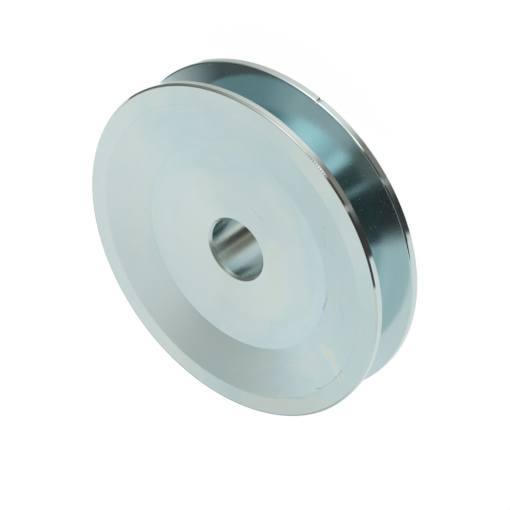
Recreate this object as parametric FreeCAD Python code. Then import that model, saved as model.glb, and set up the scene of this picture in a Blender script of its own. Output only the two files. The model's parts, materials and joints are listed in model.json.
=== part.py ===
import FreeCAD, Part
import math
import os

# Single-groove V-belt pulley for a vehicle alternator, turned from one steel blank.
# It lies on the hub boss at its back: the axis is +Z, the dished front face looks up, and
# the origin is on the bore's axis in the plane of the boss's end. Millimetres throughout.

# Rim: its width is measured across the two flanges
outer_diameter = 96.0
width = 17.7
rim_chamfer = 0.45

# Belt groove: its width is measured between the flanks, carried out to the outer diameter
groove_width = 12.9
groove_angle = 36.0
groove_depth = 12.6
groove_mouth_round = 0.7
groove_floor_bevel = 0.6

# Front face: a flat rim, a shallow cone, and a flat seat round the bore
dish_diameter = 84.6
dish_depth = 3.7
seat_diameter = 58.7
seat_edge_round = 0.5

# Bore for the rotor shaft
bore_diameter = 17.0
bore_chamfer = 0.75

# Boss at the back, which bears on the rotor shaft's spacer and holds the rim clear of it
boss_diameter = 30.0
boss_projection = 2.5
boss_chamfer = 0.5

UP = FreeCAD.Vector(0, 0, 1)
ORIGIN = FreeCAD.Vector(0, 0, 0)

outer_radius = outer_diameter / 2
bore_radius = bore_diameter / 2
boss_radius = boss_diameter / 2
front_height = boss_projection + width
seat_height = front_height - dish_depth


def corner(radius, height, rounding=0.0):
    """A corner of the half section, with the radius that rounds it, or none where it stays sharp."""
    return FreeCAD.Vector(radius, 0, height), rounding


def groove_corners():
    """The V from the rear flange to the front one: down a flank, across the floor and up again."""
    centre = boss_projection + width / 2
    floor_radius = outer_radius - groove_depth
    flank_end = floor_radius + groove_floor_bevel
    mouth_half = groove_width / 2
    flank_end_half = mouth_half - (outer_radius - flank_end) * math.tan(math.radians(groove_angle / 2))
    floor_half = flank_end_half - groove_floor_bevel
    return [
        corner(outer_radius, centre - mouth_half, groove_mouth_round),
        corner(flank_end, centre - flank_end_half),
        corner(floor_radius, centre - floor_half),
        corner(floor_radius, centre + floor_half),
        corner(flank_end, centre + flank_end_half),
        corner(outer_radius, centre + mouth_half, groove_mouth_round),
    ]


def half_section():
    """The corners that the lathe tool passes, from the bore over the back and round to the seat."""
    boss = [corner(bore_radius, 0), corner(boss_radius, 0), corner(boss_radius, boss_projection)]
    back = boss + [corner(outer_radius, boss_projection)]
    rim_face = [corner(outer_radius, front_height), corner(dish_diameter / 2, front_height)]
    seat = [corner(seat_diameter / 2, seat_height, seat_edge_round), corner(bore_radius, seat_height)]
    return back + groove_corners() + rim_face + seat


def rounded_corner(before, tip, after, rounding):
    """The arc that rounds the corner at tip, touching the straight runs to its neighbours."""
    back_along = (before - tip).normalize()
    on_along = (after - tip).normalize()
    half_angle = back_along.getAngle(on_along) / 2
    reach = rounding / math.tan(half_angle)
    inwards = (back_along + on_along).normalize()
    middle = tip + inwards * (rounding / math.sin(half_angle) - rounding)
    return Part.Arc(tip + back_along * reach, middle, tip + on_along * reach).toShape()


def outline(corners):
    """A closed wire through the corners: straight runs, joined by the arcs of the rounded ones."""
    turns = []
    for index, (tip, rounding) in enumerate(corners):
        if rounding:
            before = corners[index - 1][0]
            after = corners[(index + 1) % len(corners)][0]
            turns.append(rounded_corner(before, tip, after, rounding))
        else:
            turns.append(Part.Vertex(tip))
    edges = []
    for index, turn in enumerate(turns):
        following = turns[(index + 1) % len(turns)]
        if isinstance(turn, Part.Edge):
            edges.append(turn)
        edges.append(Part.makeLine(turn.Vertexes[-1].Point, following.Vertexes[0].Point))
    return Part.Wire(edges)


def ring_edges(solid, radius, height):
    """The round edges that have this radius and lie at this height."""
    found = []
    for edge in solid.Edges:
        curve = edge.Curve
        if not isinstance(curve, Part.Circle):
            continue
        if abs(curve.Radius - radius) < 1e-4 and abs(curve.Center.z - height) < 1e-4:
            found.append(edge)
    return found


def chamfered(body):
    """Breaks the rim's and the boss's edges, and leads the shaft in at both ends of the bore."""
    rims = ring_edges(body, outer_radius, boss_projection) + ring_edges(body, outer_radius, front_height)
    body = body.makeChamfer(rim_chamfer, rims)
    body = body.makeChamfer(boss_chamfer, ring_edges(body, boss_radius, 0))
    mouths = ring_edges(body, bore_radius, 0) + ring_edges(body, bore_radius, seat_height)
    return body.makeChamfer(bore_chamfer, mouths)


def pulley():
    """The whole turning, as one solid: its half section is spun round the axis."""
    turned = Part.Face(outline(half_section())).revolve(ORIGIN, UP, 360)
    return chamfered(turned)


part = pulley()
print("pulley valid", part.isValid(), "solids", len(part.Solids), "faces", len(part.Faces))
print("volume mm3 %.1f" % part.Volume, "size", part.optimalBoundingBox())
os.makedirs("parts", exist_ok=True)
part.exportStep("parts/pulley.step")
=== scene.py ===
# %% [markdown]
# # A turned pulley in bright zinc plate
# This pulley drives a vehicle's alternator. It is one piece of steel: a lathe cut it from a
# blank, and a plating bath gave it bright zinc with a thin pale blue film on top. So the model
# is one piece as well, and nearly all of its looks come from three things: a clean section,
# the marks that the turning tool left, and a room worth reflecting.
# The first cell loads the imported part. Its boxes tell us where everything is, in metres.

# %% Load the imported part
import json
import math

import bpy
import numpy as np
from mathutils import Matrix, Vector

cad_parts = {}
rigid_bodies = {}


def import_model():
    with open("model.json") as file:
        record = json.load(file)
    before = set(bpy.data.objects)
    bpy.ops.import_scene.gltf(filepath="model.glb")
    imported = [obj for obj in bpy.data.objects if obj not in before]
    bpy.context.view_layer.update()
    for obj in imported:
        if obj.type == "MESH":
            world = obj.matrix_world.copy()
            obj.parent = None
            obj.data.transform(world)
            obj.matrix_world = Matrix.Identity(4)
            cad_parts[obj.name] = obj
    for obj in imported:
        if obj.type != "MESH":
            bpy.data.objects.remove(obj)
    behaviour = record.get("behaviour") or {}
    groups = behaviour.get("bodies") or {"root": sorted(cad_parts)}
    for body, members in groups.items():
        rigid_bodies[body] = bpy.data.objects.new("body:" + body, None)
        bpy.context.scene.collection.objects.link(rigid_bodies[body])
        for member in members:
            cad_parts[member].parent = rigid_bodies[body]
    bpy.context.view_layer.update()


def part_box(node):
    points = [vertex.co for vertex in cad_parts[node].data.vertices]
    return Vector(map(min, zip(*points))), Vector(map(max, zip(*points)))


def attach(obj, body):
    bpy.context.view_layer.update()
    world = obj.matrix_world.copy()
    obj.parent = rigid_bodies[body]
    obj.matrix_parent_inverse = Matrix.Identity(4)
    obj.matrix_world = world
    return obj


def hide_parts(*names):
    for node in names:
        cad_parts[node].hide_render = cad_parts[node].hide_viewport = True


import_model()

MM = 0.001
lowest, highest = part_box("pulley")
outer_radius = (highest.x - lowest.x) / 2
front = highest.z
print("outer radius mm %.2f, front face at mm %.2f" % (outer_radius / MM, front / MM))

# %% [markdown]
# ## Nodes written as sums
# Both the shape and the finish are made with nodes, and both need arithmetic. Placing a Math
# node for each plus sign by hand is slow to write and hard to read. A small class that wraps
# one output lets Python's own operators add those nodes, so a mask can be written as
# `1 - edge * wear`. Every other node comes from one method, which sets the node up first and
# then fills in its sockets.

# %% A wrapped output and a bench of nodes
class Wire:
    """One output of a node. An operator used on it adds a Math node and returns its output."""

    def __init__(self, bench, socket):
        self.bench = bench
        self.socket = socket

    def out(self, name):
        """Another output of the same node."""
        return Wire(self.bench, self.socket.node.outputs[name])

    def maths(self, operation, *operands):
        settings = {"operation": operation}
        return self.bench.add("ShaderNodeMath", settings, dict(enumerate(operands)))

    def __add__(self, other):
        return self.maths("ADD", self, other)

    def __radd__(self, other):
        return self.maths("ADD", other, self)

    def __sub__(self, other):
        return self.maths("SUBTRACT", self, other)

    def __rsub__(self, other):
        return self.maths("SUBTRACT", other, self)

    def __neg__(self):
        return self.maths("SUBTRACT", 0.0, self)

    def __mul__(self, other):
        return self.maths("MULTIPLY", self, other)

    def __rmul__(self, other):
        return self.maths("MULTIPLY", other, self)

    def __truediv__(self, other):
        return self.maths("DIVIDE", self, other)

    def __pow__(self, other):
        return self.maths("POWER", self, other)

    def __abs__(self):
        return self.maths("ABSOLUTE", self)

    def __gt__(self, other):
        return self.maths("GREATER_THAN", self, other)

    def __lt__(self, other):
        return self.maths("LESS_THAN", self, other)

    def least(self, other):
        return self.maths("MINIMUM", self, other)

    def most(self, other):
        return self.maths("MAXIMUM", self, other)


class Bench:
    """A node tree, with one way to put a node on it."""

    def __init__(self, tree):
        self.tree = tree

    def add(self, kind, settings=None, sockets=None):
        """Adds a node: its settings first, then the values or wires of its sockets."""
        node = self.tree.nodes.new(kind)
        for name, value in (settings or {}).items():
            if name == "items":
                while len(node.index_switch_items) < value:
                    node.index_switch_items.new()
            elif name == "stops":
                self.set_stops(node.color_ramp, value)
            else:
                setattr(node, name, value)
        for name, value in (sockets or {}).items():
            self.fill(self.find(node, name), value)
        shown = [socket for socket in node.outputs if socket.enabled]
        return Wire(self, shown[0]) if shown else None

    def find(self, node, name):
        """A socket by its place, or the shown socket of that name."""
        if isinstance(name, int):
            return node.inputs[name]
        return [socket for socket in node.inputs if socket.enabled and socket.name == name][0]

    def fill(self, socket, value):
        if isinstance(value, Wire):
            self.tree.links.new(value.socket, socket)
        else:
            socket.default_value = value

    def set_stops(self, ramp, stops):
        while len(ramp.elements) < len(stops):
            ramp.elements.new(1.0)
        for element, (place, colour) in zip(ramp.elements, stops):
            element.position = place
            element.color = colour

    def rise(self, value, start, end):
        """Goes from 0 at start to 1 at end, smoothly. The end may lie below the start."""
        turned_round = end < start
        low, high = min(start, end), max(start, end)
        step = self.add("ShaderNodeMapRange", {"interpolation_type": "SMOOTHSTEP"},
                        {"Value": value, "From Min": low, "From Max": high})
        return 1 - step if turned_round else step


print("node helpers ready")

# %% [markdown]
# ## The camera first
# A shape is easier to judge when the view is already the final one. The part lies on its back,
# with its axis upright, and we look down on it from a good distance through a long lens.
# The camera is rolled, so that the picture's upright is not the part's axis but a direction
# across it. A camera looks along its own -Z, so the matrix below is made of three columns:
# its right, its up, and the direction from the part back to the camera. Its place is written
# in outer radii, as the view was fitted to the rim.

# %% Place the camera
SENSOR = 36.0
LENS = 127.06
FACE_ACROSS, FACE_DROP, FACE_AWAY = -0.1539, 0.0049, 9.7392
look = Vector((-0.51771, -0.56445, -0.64294)).normalized()
right = Vector((0.77888, 0.0, -0.62718)).normalized()
up = right.cross(look)
face_centre = Vector((0, 0, front))
eye = face_centre + outer_radius * (FACE_DROP * up - FACE_ACROSS * right - FACE_AWAY * look)

camera_data = bpy.data.cameras.new("camera")
camera_data.sensor_width = SENSOR
camera_data.lens = LENS
camera = bpy.data.objects.new("camera", camera_data)
camera.matrix_world = Matrix((right, up, -look)).transposed().to_4x4()
camera.location = eye
bpy.context.scene.collection.objects.link(camera)
bpy.context.scene.camera = camera
elevation = math.degrees(math.asin(-look.z))
print("camera mm from the face %.0f, elevation %.1f degrees"
      % (FACE_AWAY * outer_radius / MM, elevation))

# %% [markdown]
# ## The turned body
# A lathe spins the blank while a tool follows a section. Blender could do the same with a
# Screw modifier, or with the spin tool in edit mode, but then each size would be buried in
# loose points. Here Geometry Nodes draw the section from named sizes, round each corner by
# its own amount, and sweep it round a circle. To change the groove's width later, you change
# one number and the whole body follows.

# %% Sizes of the section, in millimetres
WIDTH = 17.7
sizes = {
    "Outer radius": outer_radius / MM,
    "Width": WIDTH,
    "Rim chamfer": 0.45,
    "Groove width": 12.9,
    "Groove depth": 12.6,
    "Floor bevel": 0.6,
    "Dish radius": 42.3,
    "Dish depth": 3.7,
    "Seat radius": 29.35,
    "Bore radius": 8.5,
    "Bore chamfer": 0.75,
    "Boss radius": 15.0,
    "Boss projection": front / MM - WIDTH,
    "Boss chamfer": 0.5,
    "Mouth round": 0.7,
    "Seat round": 0.5,
    "Edge break": 0.045,
}
FLANK_SLOPE = math.tan(math.radians(18.0))
TURN_STEPS = 1080
print(len(sizes), "sizes,", TURN_STEPS, "steps round the turn")
print("boss mm %.2f" % sizes["Boss projection"])

# %% Start the body's node tree
body_tree = bpy.data.node_groups.new("turned_body", "GeometryNodeTree")
for name, size in sizes.items():
    socket = body_tree.interface.new_socket(name=name, in_out="INPUT",
                                            socket_type="NodeSocketFloat")
    socket.default_value = size * MM
body_tree.interface.new_socket(name="Finish", in_out="INPUT", socket_type="NodeSocketMaterial")
body_tree.interface.new_socket(name="Body", in_out="OUTPUT", socket_type="NodeSocketGeometry")
shop = Bench(body_tree)
given = shop.add("NodeGroupInput")
size = {name: given.out(name) for name in sizes}
print("inputs:", ", ".join(sizes))

# %% [markdown]
# The section's corners are listed clockwise, from the bore's front mouth out over the face,
# down the belt groove, back under the rim and over the boss at the back. Each corner names the
# size that rounds it. Even the sharp corners are broken by a few hundredths of a millimetre, as
# plating does, because a corner with no width never glints. The rear land gets three more
# points that nothing rounds: a nick is pressed in there later, and a mesh can only bend where
# it has points.

# %% Heights and radii that the corners share
rear = size["Boss projection"]
face = rear + size["Width"]
centre = rear + size["Width"] / 2
mouth = size["Groove width"] / 2
floor_radius = size["Outer radius"] - size["Groove depth"]
flank_foot = floor_radius + size["Floor bevel"]
foot_half = mouth - (size["Outer radius"] - flank_foot) * FLANK_SLOPE
floor_half = foot_half - size["Floor bevel"]
seat_height = face - size["Dish depth"]
rim_break = size["Outer radius"] - size["Rim chamfer"]
bore_break = size["Bore radius"] + size["Bore chamfer"]
print("shared heights and radii worked out")

# %% List the corners
SHARP, MOUTH, SEAT, FLAT = "Edge break", "Mouth round", "Seat round", None
NICK_ROWS = (1.5 * MM, 1.15 * MM, 0.8 * MM)
corners = [
    (size["Bore radius"], seat_height - size["Bore chamfer"], SHARP),
    (bore_break, seat_height, SHARP),
    (size["Seat radius"], seat_height, SEAT),
    (size["Dish radius"], face, SHARP),
    (rim_break, face, SHARP),
    (size["Outer radius"], face - size["Rim chamfer"], SHARP),
    (size["Outer radius"], centre + mouth, MOUTH),
    (flank_foot, centre + foot_half, SHARP),
    (floor_radius, centre + floor_half, SHARP),
    (floor_radius, centre - floor_half, SHARP),
    (flank_foot, centre - foot_half, SHARP),
    (size["Outer radius"], centre - mouth, MOUTH),
    *[(size["Outer radius"], rear + row, FLAT) for row in NICK_ROWS],
    (size["Outer radius"], rear + size["Rim chamfer"], SHARP),
    (rim_break, rear, SHARP),
    (size["Boss radius"], rear, SHARP),
    (size["Boss radius"], size["Boss chamfer"], SHARP),
    (size["Boss radius"] - size["Boss chamfer"], 0.0, SHARP),
    (bore_break, 0.0, SHARP),
    (size["Bore radius"], size["Bore chamfer"], SHARP),
]
print(len(corners), "corners in the section")

# %% [markdown]
# A Points node makes one point per corner, and Index Switch nodes hand each point its place,
# its rounding and its number of steps. Curve to Mesh lays the section's X outwards from the
# circle, so X is the radius less the bore's radius, and the section's Y points down the axis.

# %% Draw the section and round its corners
SHARP_STEPS, ROUND_STEPS = 2, 9
places, rounds, steps = {}, {}, {}
for number, (corner_radius, corner_height, rounding) in enumerate(corners, start=1):
    outwards = corner_radius - size["Bore radius"]
    places[number] = shop.add("ShaderNodeCombineXYZ", None, {"X": outwards, "Y": -corner_height})
    rounds[number] = size[rounding] if rounding else 0.0
    steps[number] = {SHARP: SHARP_STEPS, FLAT: 0}.get(rounding, ROUND_STEPS)
corner_number = shop.add("GeometryNodeInputIndex")


def by_corner(kind, values):
    """Hands each point the value that its corner has in the table."""
    settings = {"data_type": kind, "items": len(corners)}
    return shop.add("GeometryNodeIndexSwitch", settings, {0: corner_number, **values})


points = shop.add("GeometryNodePoints", None,
                  {"Count": len(corners), "Position": by_corner("VECTOR", places)})
section = shop.add("GeometryNodePointsToCurves", None, {"Points": points})
section = shop.add("GeometryNodeSetSplineCyclic", None, {"Geometry": section, "Cyclic": True})
section = shop.add("GeometryNodeFilletCurve", {"mode": "POLY"}, {
    "Curve": section, "Radius": by_corner("FLOAT", rounds), "Count": by_corner("INT", steps),
})
print("section drawn")

# %% Sweep the section round the bore
circle = shop.add("GeometryNodeCurvePrimitiveCircle", {"mode": "RADIUS"},
                  {"Resolution": TURN_STEPS, "Radius": size["Bore radius"]})
body = shop.add("GeometryNodeCurveToMesh", None, {"Curve": circle, "Profile Curve": section})
print("body swept")

# %% [markdown]
# ## A nick in the rear rim
# The rear rim has taken a knock: a notch that is wide at the back edge and runs out to nothing
# towards the groove. It is a real dent, so it is pushed into the mesh and not only painted.
# Set Position pulls each point in by an amount that falls off across the notch and along it.
# Only points near the outer radius, and not below the rear flange, are let through.

# %% Press the nick in
NICK_BEARING = math.radians(69.67)
NICK_DEPTH, NICK_HALF_WIDTH, NICK_LENGTH = 0.5 * MM, 0.62 * MM, 2.5 * MM
NICK_TIP, NICK_REACH, SLACK = 0.05 * MM, 1.5 * MM, 0.1 * MM
nick_x, nick_y = math.cos(NICK_BEARING), math.sin(NICK_BEARING)
spot = shop.add("ShaderNodeSeparateXYZ", None, {"Vector": shop.add("GeometryNodeInputPosition")})
spot_x, spot_y, spot_z = (spot.out(axis) for axis in "XYZ")
towards = spot_x * nick_x + spot_y * nick_y
sideways = abs(spot_y * nick_x - spot_x * nick_y)
left_over = (1 - (spot_z - rear) / NICK_LENGTH).most(0.0)
notch = (1 - sideways / (NICK_HALF_WIDTH * left_over + NICK_TIP)).most(0.0)
allowed = (towards > outer_radius - NICK_REACH) * (spot_z > rear - SLACK)
pull = notch * left_over ** 0.5 * NICK_DEPTH * allowed
inwards = shop.add("ShaderNodeCombineXYZ", None, {"X": pull * -nick_x, "Y": pull * -nick_y})
body = shop.add("GeometryNodeSetPosition", None, {"Geometry": body, "Offset": inwards})
print("nick at bearing %.1f degrees" % math.degrees(NICK_BEARING))

# %% Finish the body's tree
body = shop.add("GeometryNodeSetShadeSmooth", {"domain": "FACE"},
                {"Geometry": body, "Shade Smooth": True})
body = shop.add("GeometryNodeRealizeInstances", None, {"Geometry": body})
body = shop.add("GeometryNodeSetMaterial", None,
                {"Geometry": body, "Material": given.out("Finish")})
shop.add("NodeGroupOutput", None, {"Body": body})
print(len(body_tree.nodes), "nodes turn the body")

# %% [markdown]
# ## The finish
# Bright zinc is a mirror with a milky skin: a cool grey metal whose pale blue film is a
# fraction of a micrometre thick, so its tint wanders to yellow and green where the film
# thickens. One material covers the part, because the part is one piece. Two numbers tell its
# surfaces apart: the distance to the axis, and the height above the rear flange. From those
# and the section's own sizes come masks, which are 1 on their surface and 0 elsewhere.

# %% Start the material
zinc = bpy.data.materials.new("bright_zinc_blue_film")
zinc.use_nodes = True
zinc.node_tree.nodes.clear()
plating = Bench(zinc.node_tree)
where = plating.add("ShaderNodeTexCoord").out("Object")
parts = plating.add("ShaderNodeSeparateXYZ", None, {"Vector": where})
x, y = parts.out("X") / MM, parts.out("Y") / MM
height = parts.out("Z") / MM - sizes["Boss projection"]
radius = (x * x + y * y) ** 0.5
print("places are read in millimetres")

# %% Masks for the surfaces
RIM, DISH_EDGE = sizes["Outer radius"], sizes["Dish radius"]
SEAT_EDGE, BORE = sizes["Seat radius"], sizes["Bore radius"]
GROOVE_FLOOR = RIM - sizes["Groove depth"]
SEAT_FACE = WIDTH - sizes["Dish depth"]
on_land = radius > RIM - 0.4
in_bore = (radius < BORE + 0.1) * (height > 0.7 - sizes["Boss projection"])
in_bore = in_bore * (height < SEAT_FACE - 0.6)
half_gap = sizes["Groove width"] / 2 - (RIM - radius) * FLANK_SLOPE
between_flanks = abs(height - WIDTH / 2) < half_gap + 0.12
in_groove = between_flanks * (radius < RIM - 0.15) * (radius > GROOVE_FLOOR - 1.4)
on_front = (height > SEAT_FACE - 0.4) * (radius < RIM - 0.1)
past_seat = plating.rise(radius, SEAT_EDGE - 0.15, SEAT_EDGE + 0.35)
past_dish = plating.rise(radius, DISH_EDGE - 0.2, DISH_EDGE + 0.2)
at_seat = on_front * (1 - past_seat)
at_dish = on_front * past_seat * (1 - past_dish)
at_rim = on_front * past_dish
at_corner = (radius > RIM - 0.5) * (height > WIDTH - 0.5)
at_mouth = (radius > BORE + 0.1) * (radius < BORE + 0.9)
at_mouth = at_mouth * (height > SEAT_FACE - 0.8) * (height < SEAT_FACE + 0.1)
print("lands, bore, groove, dish, seat, rim and their edges told apart")

# %% [markdown]
# Much of what the finish shows belongs to one side of the part. A sector mask picks that side
# by its bearing. It compares directions by their cosine, so that there is no seam where an
# angle would jump from 360 to 0.


# %% Sectors
def sector(bearing, half_angle, fade):
    """1 within half an angle of a bearing, in degrees, fading to 0 over the given degrees."""
    turned = math.radians(bearing)
    facing = (x * math.cos(turned) + y * math.sin(turned)) / radius
    outer = math.cos(math.radians(half_angle + fade))
    return plating.rise(facing, outer, math.cos(math.radians(half_angle)))


print("bearings run from the picture's right, against the clock")


# %% [markdown]
# ## The film's colour
# A thin clear film shows interference colours: pale blue where it is thinnest, then straw,
# then a hint of rose. A colour ramp holds that order, and its input is the film's thickness.
# Slow noise makes the thickness wander in blotches up to a centimetre wide, and noise along
# the radius draws it out in rings. Where the photographed part shows a drift of its own, a
# soft stroke adds to the thickness or takes from it. Wide drifts have ragged outlines, because
# noise shifts the place that they read. Narrow ones are shifted less, to keep them whole.

# %% Soft strokes
def stroke(place, start, end, half_width, sharp=0.0):
    """1 along the line from start to end, in mm across the front, and 0 at the half width."""
    (x0, y0), (x1, y1) = start, end
    run_x, run_y = x1 - x0, y1 - y0
    square = max(run_x ** 2 + run_y ** 2, 1e-6)
    from_x, from_y = place[0] - x0, place[1] - y0
    along = ((from_x * (run_x / square) + from_y * (run_y / square)).most(0.0)).least(1.0)
    off_x, off_y = from_x - along * run_x, from_y - along * run_y
    away = (off_x * off_x + off_y * off_y) ** 0.5
    return plating.rise(away, half_width, half_width * sharp)


drifts = [
    # start, end, half width, thickness added
    ((-25, 27), (-9, 36), 9.0, -0.24),
    ((-4, 36), (20, 33), 8.0, -0.13),
    ((-33, 24), (-33.5, 20), 5.0, 0.12),
    ((-31.6, 6), (-31.4, -10), 4.2, 0.22),
    ((-23, -25), (-18, -29), 5.5, 0.22),
    ((-12, -31.5), (6, -33), 5.5, 0.30),
    ((14, -36), (28, -31), 5.5, -0.20),
    ((25.5, -15.2), (33, -18), 2.2, 0.26),
    ((33, -17), (37, -21.5), 3.0, 0.30),
    ((-21, 19), (4, 27.5), 6.0, -0.20),
    ((23, 17), (28, -4), 4.5, -0.20),
    ((27.5, -9), (15, -24), 7.5, -0.32),
    ((-13, -3), (-11, 10), 8.0, 0.18),
    ((-7, -12), (8, -13), 6.0, 0.14),
    ((12, -9), (13, 5), 5.5, 0.22),
    ((-38.5, 29.5), (-21, 43.5), 3.6, 0.22),
    ((-29, -35), (-11, -43), 4.6, 0.28),
    ((9, -45.4), (33, -33), 4.0, 0.26),
    ((-8, -44.5), (4, -44.8), 3.2, -0.20),
    ((24, 40.5), (34, 33), 4.0, 0.2),
]
print(len(drifts), "drifts of the film")


# %% Noise for the finish
def rings(across, scale, detail, rough):
    """Noise along one number, which makes rings without a seam."""
    return plating.add("ShaderNodeTexNoise", {"noise_dimensions": "1D"},
                       {"W": across, "Scale": scale, "Detail": detail, "Roughness": rough})


def blotches(place, scale, detail=2.0, rough=0.5):
    """Noise in space, which makes blotches."""
    return plating.add("ShaderNodeTexNoise", None,
                       {"Vector": place, "Scale": scale, "Detail": detail, "Roughness": rough})


slow = plating.add("ShaderNodeCombineXYZ", None, {"X": x * 0.09, "Y": y * 0.09, "Z": height * 0.1})
ragged = blotches(where, 150.0)
shifts = plating.add("ShaderNodeSeparateColor", None, {"Color": ragged.out("Color")})
shift_x, shift_y = shifts.out("Red") - 0.5, shifts.out("Green") - 0.5
print("noise ready")

# %% Film thickness
NARROW, LOOSE_SHIFT, FIRM_SHIFT = 3.5, 12, 4
film = 0.51 + (blotches(slow, 1.5, 3.0, 0.6) - 0.5) * 0.36 + (rings(radius, 0.8, 3.0, 0.7) - 0.5) * 0.16
film = film - at_dish * sector(15, 40, 30) * 0.15 - at_dish * sector(245, 45, 25) * 0.12
film = film - at_seat * plating.rise(radius, SEAT_EDGE - 4.85, SEAT_EDGE - 0.35) * 0.12
film = film - at_rim * sector(350, 22, 20) * 0.13
loose = (x + shift_x * LOOSE_SHIFT, y + shift_y * LOOSE_SHIFT)
firm = (x + shift_x * FIRM_SHIFT, y + shift_y * FIRM_SHIFT)
for start, end, half_width, added in drifts:
    place = firm if half_width < NARROW else loose
    film = film + stroke(place, start, end, half_width) * on_front * added
film_stops = [
    (0.0, (0.606, 0.742, 0.794, 1)),
    (0.18, (0.628, 0.760, 0.786, 1)),
    (0.36, (0.600, 0.750, 0.748, 1)),
    (0.56, (0.668, 0.772, 0.762, 1)),
    (0.78, (0.672, 0.772, 0.708, 1)),
    (0.98, (0.695, 0.758, 0.685, 1)),
]
film_tint_and_painted_light = plating.add("ShaderNodeValToRGB", {"stops": film_stops}, {"Fac": film})
print(len(film_stops), "colours in the film's ramp")

# %% [markdown]
# ## What the tool left
# The lathe tool leaves fine rings on every surface. One number runs across all of them: the
# radius plus the height, because it changes along a face, a land and a flank alike. Noise of
# one dimension on that number makes rings without a seam. It goes into the bump, very faintly,
# and a little into the colour. Roughness decides how sharp the room looks in each surface: the
# lands and the groove mirror it clearly, and the face is the milkiest.

# %% Turning rings
run = radius + height
APART = 40.0
fine_rings = rings(run, 5.0, 4.0, 0.7)
broad_rings = rings(run + APART, 0.9, 2.0, 0.6)
print("rings ready")

# %% Roughness by surface
roughness = 0.30 - 0.21 * on_land - 0.03 * in_bore - 0.18 * in_groove
roughness = roughness + 0.26 * at_mouth * sector(216, 22, 12)
roughness = roughness + (blotches(slow, 2.7) - 0.5) * 0.05 + (fine_rings - 0.5) * 0.03
print("roughness ready")

# %% [markdown]
# ## A tint for each surface, and painted light
# The film covers the face, while the lands, the groove and the bore have a tint of their own.
# Light that bounces between two plated walls picks up their colour each time, and near things
# colour it as well, which a far room can't show. So over some sectors that light and shade are
# painted into the colour: painted bounce shade in the groove and the bore, painted reflections
# and a bright painted highlight line in the bore, and painted sheen on the lands, the front
# corner and the bore's mouth. The left of the face and the dish's dark sector get a faint
# painted reflection colour for the same reason. A list of patches holds them, and each one is
# laid over the last.


# %% Tint and painted light by surface
def patched(tint, patches):
    """The tint with others laid over it: each patch is (mask, tint)."""
    for mask, patch in patches:
        tint = plating.add("ShaderNodeMix", {"data_type": "RGBA"},
                           {"Factor": mask, "A": tint, "B": patch})
    return tint


# Painted light on the face: the left side a little paler and bluer, and a painted greener reflection in
# the dish's dark sector.
painted_left_light = sector(190, 45, 20) * (at_dish * 0.5 + at_rim * 0.6 + at_seat * 0.35)
film_tint_and_painted_light = patched(film_tint_and_painted_light, [
    (at_dish * sector(250, 30, 18) * 0.6, (0.655, 0.80, 0.77, 1)),
    (painted_left_light, (0.70, 0.80, 0.795, 1)),
])
# The lands' own tint, with painted sheen round the top.
land_tint_and_sheen = patched((0.675, 0.80, 0.785, 1), [(sector(85, 28, 20), (0.75, 0.842, 0.815, 1))])
# The groove's own tint, with painted bounce shade round the top.
groove_tint_and_shade = patched((0.60, 0.745, 0.76, 1), [(sector(103, 13, 10), (0.42, 0.595, 0.62, 1))])
# The bore's own tint, with painted bounce shade near 164 and 278 degrees, painted pale reflections from
# 206 to 226 degrees and a bright painted highlight line at 219.
bore_tint_and_reflections = patched((0.555, 0.705, 0.71, 1), [
    (sector(206, 14, 30), (0.68, 0.76, 0.68, 1)),
    (sector(164, 13, 18), (0.30, 0.44, 0.46, 1)),
    (sector(278, 12, 12), (0.43, 0.58, 0.59, 1)),
    (sector(219, 1, 1.5), (0.80, 0.86, 0.76, 1)),
    (sector(226, 2, 3), (0.60, 0.70, 0.60, 1)),
])
colour = patched(film_tint_and_painted_light, [
    (on_land, land_tint_and_sheen),
    (in_groove, groove_tint_and_shade),
    # Painted sheen on the front corner round the top, and a painted reflection colour at the bore's
    # mouth.
    (at_corner * sector(85, 60, 25), (0.75, 0.79, 0.735, 1)),
    (at_mouth * sector(222, 30, 14), (0.66, 0.77, 0.69, 1)),
    (in_bore, bore_tint_and_reflections),
])
print("surface tints ready")

# %% [markdown]
# ## Wear, flaws and painted edge shade
# A new part is never clean. The photographed one has a few short scratches on the dish, a
# scuff on the line where the dish meets the rim, and a dark rub at the seat's edge. Each is a
# named stroke with its own place, width and depth, so it stays where it belongs on the part,
# and the same mask darkens the colour and dents the bump.

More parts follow.
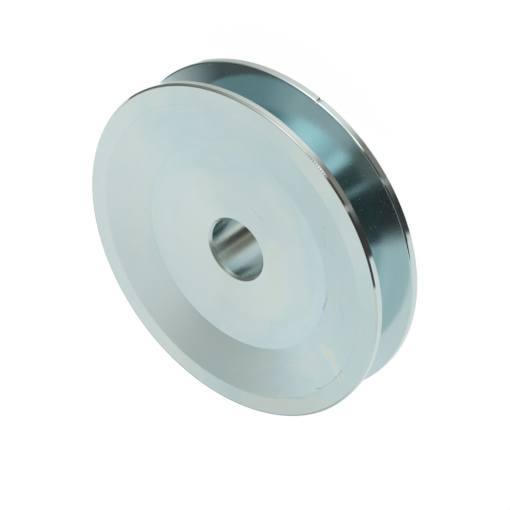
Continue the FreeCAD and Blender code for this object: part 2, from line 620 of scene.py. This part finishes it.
# %% Scratches and scuffs, in millimetres across the front
flaws = {
    # name: (start, end, half width, how dark)
    "dish tick one": ((29.05, 20.36), (30.1, 19.57), 0.22, 0.35),
    "dish tick two": ((28.02, 17.87), (28.7, 16.4), 0.16, 0.22),
    "dish tick three": ((28.9, 16.2), (29.74, 14.36), 0.18, 0.32),
    "dish tick four": ((29.33, 17.99), (30.21, 15.57), 0.18, 0.26),
    "dish tick five": ((31.28, 14.6), (32.59, 13.18), 0.16, 0.3),
    "dish long scratch": ((35.79, -0.78), (36.95, -5.03), 0.16, 0.26),
    "dish faint scratch": ((36.16, 5.25), (36.1, 3.4), 0.16, 0.18),
    "seat edge rub, upper": ((29.71, -0.26), (29.95, -2.24), 0.32, 0.3),
    "seat edge rub, lower": ((29.95, -2.24), (28.83, -6.26), 0.36, 0.4),
    "seat edge trace": ((28.65, -7.02), (27.3, -11.74), 0.25, 0.1),
    "rim scuff dash": ((29.83, -29.09), (31.4, -28.2), 0.24, 0.4),
    "rim scuff line": ((31.7, -27.84), (36.12, -22.37), 0.14, 0.2),
    "rim scuff dot": ((36.05, -22.3), (36.25, -22.1), 0.36, 0.5),
    "rim scuff hook": ((37.85, -19.3), (36.9, -20.9), 0.34, 0.26),
    "rim scuff tail": ((36.9, -20.9), (37.8, -21.6), 0.28, 0.22),
    "rim scuff left": ((11.98, -41.0), (24.75, -34.6), 0.12, 0.2),
    "seat scratch": ((5.56, 14.91), (9.14, 12.71), 0.14, 0.34),
    "seat speck": ((-9.79, -2.02), (-9.7, -1.9), 0.3, 0.2),
    "rim speck": ((-16.66, 39.57), (-16.5, 39.0), 0.25, 0.15),
}
FLAW_CORE = 0.3
marked = 0.0
for start, end, half_width, dark in flaws.values():
    marked = marked + stroke((x, y), start, end, half_width, FLAW_CORE) * dark
marked = marked * on_front * plating.rise(blotches(where, 1400.0), 0.25, 0.55)
print(len(flaws), "flaws placed")

# %% [markdown]
# Narrow grey lines run along the dish's outer line, the rim's front edge and the bore's lead-in.
# The dish's line goes all round; the others come and go round the turn, and a sector mask says
# where each is strong. The lines on the rim's front edge and its corner are painted shade: dark
# reflections of the room, painted into the colour. The seat's edge keeps a thicker, bluer film.
# The rim is darker at the lower right. On one short stretch of the rim's edge a row of fine
# dark ticks, which a sine wave of the bearing counts off, breaks up the edge's pale line.


# %% Edge lines
def line_at(value, place, half_width):
    """1 where the value is at its place, and 0 beyond the half width."""
    return plating.rise(abs(value - place), half_width, 0.0)


RIM_LINE, CORNER_LINE = RIM - 0.5, RIM - 0.44
# Painted shade: dark reflection lines along the rim's front edge, strong round 112, 228 and 280
# degrees.
rim_edge_painted_shade = sector(112, 22, 18) * 0.5 + sector(280, 34, 22) * 0.75 + sector(228, 40, 20) * 0.3
rim_edge_painted_shade = line_at(radius, RIM_LINE, 0.22) * on_front * rim_edge_painted_shade
# Painted reflections: dark lines on the rim's corner, on the face and on the land, round the top.
corner_painted_reflections = line_at(radius, CORNER_LINE, 0.13) * on_front
corner_painted_reflections = corner_painted_reflections + line_at(height, WIDTH - 0.5, 0.12) * on_land
corner_painted_reflections = corner_painted_reflections * sector(88, 24, 8) * 0.62
dish_line = line_at(radius, DISH_EDGE + 0.05, 0.2) * on_front * (0.04 + 0.08 * broad_rings)
# Dark rings at the bore's lead-in, strongest round 246 degrees.
mouth_rings = line_at(radius, BORE + 0.12, 0.12) + line_at(radius, BORE + 0.48, 0.12)
mouth_rings = mouth_rings + line_at(radius, BORE + 0.8, 0.14)
mouth_dark_lines = mouth_rings * on_front * sector(246, 32, 24) * 0.6
mouth_dark_lines = mouth_dark_lines + at_mouth * sector(254, 20, 14) * 0.12
# The rim is darkened a little at the lower right.
rim_lower_right_darkening = at_rim * (sector(292, 16, 14) * 0.09 + sector(310, 50, 20) * 0.07)
print("edge lines ready")

# %% Edge ticks, and all the wear and painted shade together
TICKS_PER_TURN = 400.0
# The dark grey laid for real wear and for the painted edge shade.
DARK_WEAR_AND_SHADE, SEAT_BLUE = (0.16, 0.20, 0.19, 1), (0.60, 0.77, 0.80, 1)
bearing = plating.add("ShaderNodeMath", {"operation": "ARCTAN2"}, {0: y, 1: x})
beat = plating.add("ShaderNodeMath", {"operation": "SINE"}, {0: bearing * TICKS_PER_TURN})
# Fine dark ticks on a short stretch of the rim's edge, round 53 degrees.
edge_ticks = plating.rise(beat, 0.2, 0.8) * on_front * plating.rise(radius, RIM_LINE, CORNER_LINE)
edge_ticks = edge_ticks * sector(53, 3, 3) * 0.7
# Real scratches and scuffs, together with the painted edge shade and the other dark lines.
wear_and_shade = marked + rim_edge_painted_shade + corner_painted_reflections + dish_line + mouth_dark_lines + rim_lower_right_darkening + edge_ticks
seat_blue = line_at(radius, SEAT_EDGE + 0.1, 0.9) * on_front * 0.5
colour = patched(colour, [(seat_blue, SEAT_BLUE), (wear_and_shade.least(0.85), DARK_WEAR_AND_SHADE)])
print("worn edges ready")

# %% [markdown]
# Dust is the smallest scale. A Voronoi texture puts one dot in each of its cells, and the
# cell's own random colour decides which cells show theirs: a few dark specks all over, and
# more light crumbs in the groove, where nobody wipes. The crumbs are less of a metal.


# %% Specks
def specks(scale, dot, share):
    """Dots of the given size, in those cells whose random number is above the share."""
    cells = plating.add("ShaderNodeTexVoronoi", None, {"Vector": where, "Scale": scale})
    chosen = plating.add("ShaderNodeSeparateColor", None, {"Color": cells.out("Color")})
    return plating.rise(cells, dot, 0.05) * (chosen > share)


dark_speck = specks(420.0, 0.16, 0.93)
light_speck = specks(800.0, 0.15, 0.55) * in_groove
colour = patched(colour, [
    (dark_speck * 0.22, (0.25, 0.28, 0.27, 1)),
    (light_speck, (0.75, 0.85, 0.85, 1)),
])
print("specks ready")

# %% Ring shading and bump
ring_shade = (broad_rings - 0.5) * 0.03 + (fine_rings - 0.5) * 0.04 * (1 - in_bore)
# In the dish's dark sector the rings' light and dark bands are painted 2.3 times as strong: painted
# sheen.
ring_shade = ring_shade * (1 + at_dish * sector(255, 35, 25) * 1.3)
colour = plating.add("ShaderNodeVectorMath", {"operation": "SCALE"},
                     {0: colour, "Scale": 1 + ring_shade})
relief = (fine_rings * 0.0004 + broad_rings * 0.0008) * (1 - on_land) - marked * 0.01
bump = plating.add("ShaderNodeBump", None, {"Height": relief, "Distance": MM, "Strength": 1.0})
print("bump ready")

# %% [markdown]
# Fine rings stretch a highlight across themselves, as the shine on a pan's base does. The
# shader's anisotropy does that for grooves too fine to model.

# %% Put the finish together
shader = plating.add("ShaderNodeBsdfPrincipled", None, {
    "Base Color": colour, "Metallic": 1.0 - light_speck * 0.5, "Roughness": roughness,
    "Anisotropic": 0.6, "Anisotropic Rotation": 0.25, "Normal": bump,
})
plating.add("ShaderNodeOutputMaterial", None, {"Surface": shader})
print(len(zinc.node_tree.nodes), "nodes in the finish")

# %% [markdown]
# ## Turn the body
# The tree is put on an empty mesh as a modifier, and the evaluated result becomes a plain
# mesh. The modifier's material input is set by its identifier before the first evaluation.
# Then the normals: a mirror finish shows every bend in them. Blender's own smooth normals
# take an average at each point, which would bow the flat lands near their rounded edges, so
# each point leans to the normal of the largest face that meets there.

# %% Make the mesh
seed_mesh = bpy.data.meshes.new("pulley_body_seed")
maker = bpy.data.objects.new("pulley_body_maker", seed_mesh)
bpy.context.scene.collection.objects.link(maker)
lathe = maker.modifiers.new("turn", "NODES")
lathe.node_group = body_tree
for socket in body_tree.interface.items_tree:
    if socket.in_out == "INPUT" and socket.name == "Finish":
        lathe[socket.identifier] = zinc
shaped = maker.evaluated_get(bpy.context.evaluated_depsgraph_get())
body_mesh = bpy.data.meshes.new_from_object(shaped)
body_mesh.name = "pulley_body"
bpy.data.objects.remove(maker)
pulley = bpy.data.objects.new("pulley_body", body_mesh)
bpy.context.scene.collection.objects.link(pulley)
print("body: %d points, %d faces" % (len(body_mesh.vertices), len(body_mesh.polygons)))


# %% Lay the normals
def flats_first(mesh):
    """Gives each point the mean of its faces' normals, weighted by the cube of their areas."""
    areas = np.empty(len(mesh.polygons))
    mesh.polygons.foreach_get("area", areas)
    facings = np.empty(len(mesh.polygons) * 3)
    mesh.polygons.foreach_get("normal", facings)
    quad_points = np.empty(len(mesh.loops), int)
    mesh.loops.foreach_get("vertex_index", quad_points)
    weighted = facings.reshape(-1, 3) * (areas / areas.max())[:, None] ** 3
    normals = np.zeros((len(mesh.vertices), 3))
    np.add.at(normals, quad_points.reshape(-1, 4), weighted[:, None, :])
    normals /= np.linalg.norm(normals, axis=1, keepdims=True)
    mesh.normals_split_custom_set_from_vertices(normals)


flats_first(body_mesh)
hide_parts("pulley")
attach(pulley, "root")
print("normals laid")

# %% [markdown]
# ## The room
# A polished part is a picture of the room around it. The room here is plain: a white table
# towards the viewer, a soft light box past the picture's top, a dark side on the right with
# one thin light tube, and a dim ceiling. It could be built from planes and lamps, but a world
# that is a function of direction is cheaper and easier to steer. Only reflections see it, and
# the camera sees white. The direction has three parts, dx to the picture's right, dy to its
# top and dz up from the table, and an angle that turns round the part.

# %% Start the room
world = bpy.data.worlds.new("studio")
bpy.context.scene.world = world
world.use_nodes = True
world.node_tree.nodes.clear()
room = Bench(world.node_tree)
ray = room.add("ShaderNodeTexCoord").out("Generated")
axes = room.add("ShaderNodeSeparateXYZ", None, {"Vector": ray})
dx, dy, dz = (axes.out(axis) for axis in "XYZ")
left, near, down = -dx, -dy, -dz
around = room.add("ShaderNodeMath", {"operation": "ARCTAN2"}, {0: dx, 1: dy}) / (2 * math.pi) + 0.5
degrees = around * 360 - 180
print("directions ready")


# %% Shapes of light
rise = room.rise


def band(value, start, full, fading, end):
    """1 from full to fading, and 0 before the start and past the end."""
    return rise(value, start, full) * rise(value, end, fading)


def ring(cards):
    """Grey cards round the part: each is (degrees to the right of the top, brightness)."""
    stops = [(place / 360 + 0.5, (grey, grey, grey, 1)) for place, grey in cards]
    return room.add("ShaderNodeValToRGB", {"stops": stops}, {"Fac": around})


print("bands and rings ready")

# %% [markdown]
# Two rings of cards stand round the part. The lands mirror the low one, and the groove's
# flank mirrors the high one. Their greys follow the photographed lands and groove, which are
# pale towards the top and dark towards the right.

# %% Cards round the part
low_cards = [
    (-110, 0.56), (-82, 0.58), (-66, 0.54), (-48, 0.61), (-30, 0.71), (-12, 0.79), (4, 0.87),
    (16, 0.82), (22, 0.68), (27, 0.48), (34, 0.24), (53, 0.25), (64, 0.20), (74, 0.06),
    (80, 0.045), (90, 0.06),
]
high_cards = [
    (-130, 0.15), (-90, 0.16), (-67, 0.20), (-45, 0.30), (-32, 0.53), (-25, 0.66), (-18, 0.90),
    (-10, 1.25), (-2, 1.45), (6, 1.45), (14, 1.20), (22, 0.90), (26, 1.05), (31, 1.45),
    (36, 1.10), (39.5, 0.12), (54, 0.085), (66, 0.06), (78, 0.06), (110, 0.09),
]
upper = rise(dz, -0.4, 0.0)
low = ring(low_cards) * (1 - 0.3 * rise(down, 0.66, 0.86))
dark_corner = 0.8 * rise(dz, 0.5, 0.68) * rise(dy, 0.62, 0.52) * rise(dx, 0.3, 0.1)
high = ring(high_cards) * (1 - dark_corner) * (1 - 0.28 * rise(dz, 0.52, 0.64))
above = low + (high - low) * upper
print(len(low_cards) + len(high_cards), "cards")

# %% [markdown]
# The tube draws one thin bright line across the dark end of the groove and the lands. The
# ceiling is dim, and brighter towards the viewer, with a paler band in it for the top of the
# groove. The light straight overhead is for views from above, where the flat face would
# otherwise mirror a dark ceiling. The shoulder and the dip beside it shape the change from
# pale to dark at the groove's upper left.

# %% Light tube and ceiling
TUBE_BEARING, TUBE_LEAN = 62.0, 4.0
tube_place = TUBE_BEARING - TUBE_LEAN * upper * rise(dz, 0.7, 0.5)
tube = rise(abs(degrees - tube_place), 3.0, 1.0)
above = above + tube * (0.13 + 0.34 * rise(dz, -0.4, 0.4))
overhead = rise(dz, 0.5, 0.7) * rise(dy, 0.55, 0.4) * rise(dx, 0.5, 0.3)
lamp_edge = 0.10 * band(left, 0.36, 0.44, 0.52, 0.62)
ceiling = 0.11 + (0.32 + lamp_edge) * rise(near, 0.03, 0.14)
above = above + (ceiling - above) * overhead + 0.5 * rise(dz, 0.96, 0.99)
shoulder = 0.13 * band(left, 0.752, 0.778, 0.80, 0.835) * rise(dz, 0.45, 0.55)
dip = 0.05 * band(left, 0.66, 0.70, 0.72, 0.745) * rise(dz, 0.62, 0.68)
above = above + shoulder - dip
print("tube and ceiling lit")

# %% [markdown]
# The table fills the near side. Where its edge lies decides where the face turns from light to
# dark, and how soft the edge is decides how quickly. Both change with the direction, because
# the dish, the lands and the bore each mirror another stretch of that edge. The table's white
# changes a little too, and its left is brighter where the lands mirror it.

# %% Table
edge = 0.065 + dz.most(0.0).least(0.6) * (0.32 + 0.126 * dx)
edge = edge + 0.12 * rise(left, 0.2, 0.5) * rise(down, 0.2, 0.5) + 0.18 * rise(down, 0.66, 0.78)
soft = 0.03 + 0.17 * rise(left, 0.55, 0.72) * rise(dz, 0.2, 0.5) + 0.22 * rise(down, 0.72, 0.8)
table = rise((near - edge) / soft, -0.5, 0.5)
white_table = 0.83 + 0.04 * rise(dz, 0.2, 0.6) - 0.1 * rise(dx, -0.25, 0.0) * rise(dz, 0.2, 0.5)
white_table = white_table + 0.05 * rise(left, 0.5, 0.66) * rise(dz, 0.5, 0.6)
white_table = white_table - 0.06 * rise(left, 0.6, 0.78) * rise(dz, 0.5, 0.3)
white_table = white_table + 0.3 * rise(left, 0.25, 0.6) * rise(down, -0.05, 0.25)
light = above + (white_table - above) * table
print("table laid")

# %% Show the room to reflections only
WHITE, WARM = (1, 1, 1, 1), (1.06, 1.0, 0.9, 1)
to_camera = room.add("ShaderNodeLightPath").out("Is Camera Ray")
seen = light + (1.0 - light) * to_camera
warm_side = band(degrees, 30.0, 36.0, 66.0, 72.0) * (1.0 - table) * (1.0 - upper)
shade = room.add("ShaderNodeMix", {"data_type": "RGBA"},
                 {"Factor": warm_side * (1.0 - to_camera), "A": WHITE, "B": WARM})
background = room.add("ShaderNodeBackground", None, {"Color": shade, "Strength": seen})
room.add("ShaderNodeOutputWorld", None, {"Surface": background})
print(len(world.node_tree.nodes), "nodes in the room")

# %% [markdown]
# ## The floor
# The floor is a sheet of white paper under the part. It takes the part's soft shadow, and a
# share of its own glow keeps it white in the picture without more light on the metal. The
# metal doesn't mirror it, because the room's table stands for it there.

# %% Floor
REACH = 3.0
GLOW, GLOW_SHARE = 1.16, 0.8
floor_mesh = bpy.data.meshes.new("floor")
floor_corners = [(-REACH, -REACH, 0), (REACH, -REACH, 0), (REACH, REACH, 0), (-REACH, REACH, 0)]
floor_mesh.from_pydata(floor_corners, [], [(0, 1, 2, 3)])
floor = bpy.data.objects.new("floor", floor_mesh)
bpy.context.scene.collection.objects.link(floor)
white = bpy.data.materials.new("white_paper")
white.use_nodes = True
white.node_tree.nodes.clear()
paper = Bench(white.node_tree)
matte = paper.add("ShaderNodeBsdfDiffuse", None, {"Color": (0.9, 0.9, 0.9, 1)})
glow = paper.add("ShaderNodeEmission", None, {"Strength": GLOW})
sheet = paper.add("ShaderNodeMixShader", None, {0: GLOW_SHARE, 1: matte, 2: glow})
paper.add("ShaderNodeOutputMaterial", None, {"Surface": sheet})
floor_mesh.materials.append(white)
floor.visible_glossy = False
print("floor ready")

# %% [markdown]
# ## Picture settings
# Light that falls into the groove bounces off both flanks before it leaves, so the picture
# needs more bounces than the default.

# %% Picture settings
scene = bpy.context.scene
scene.view_settings.view_transform = "Standard"
scene.cycles.max_bounces = 16
scene.cycles.glossy_bounces = 12
print("view transform", scene.view_settings.view_transform)
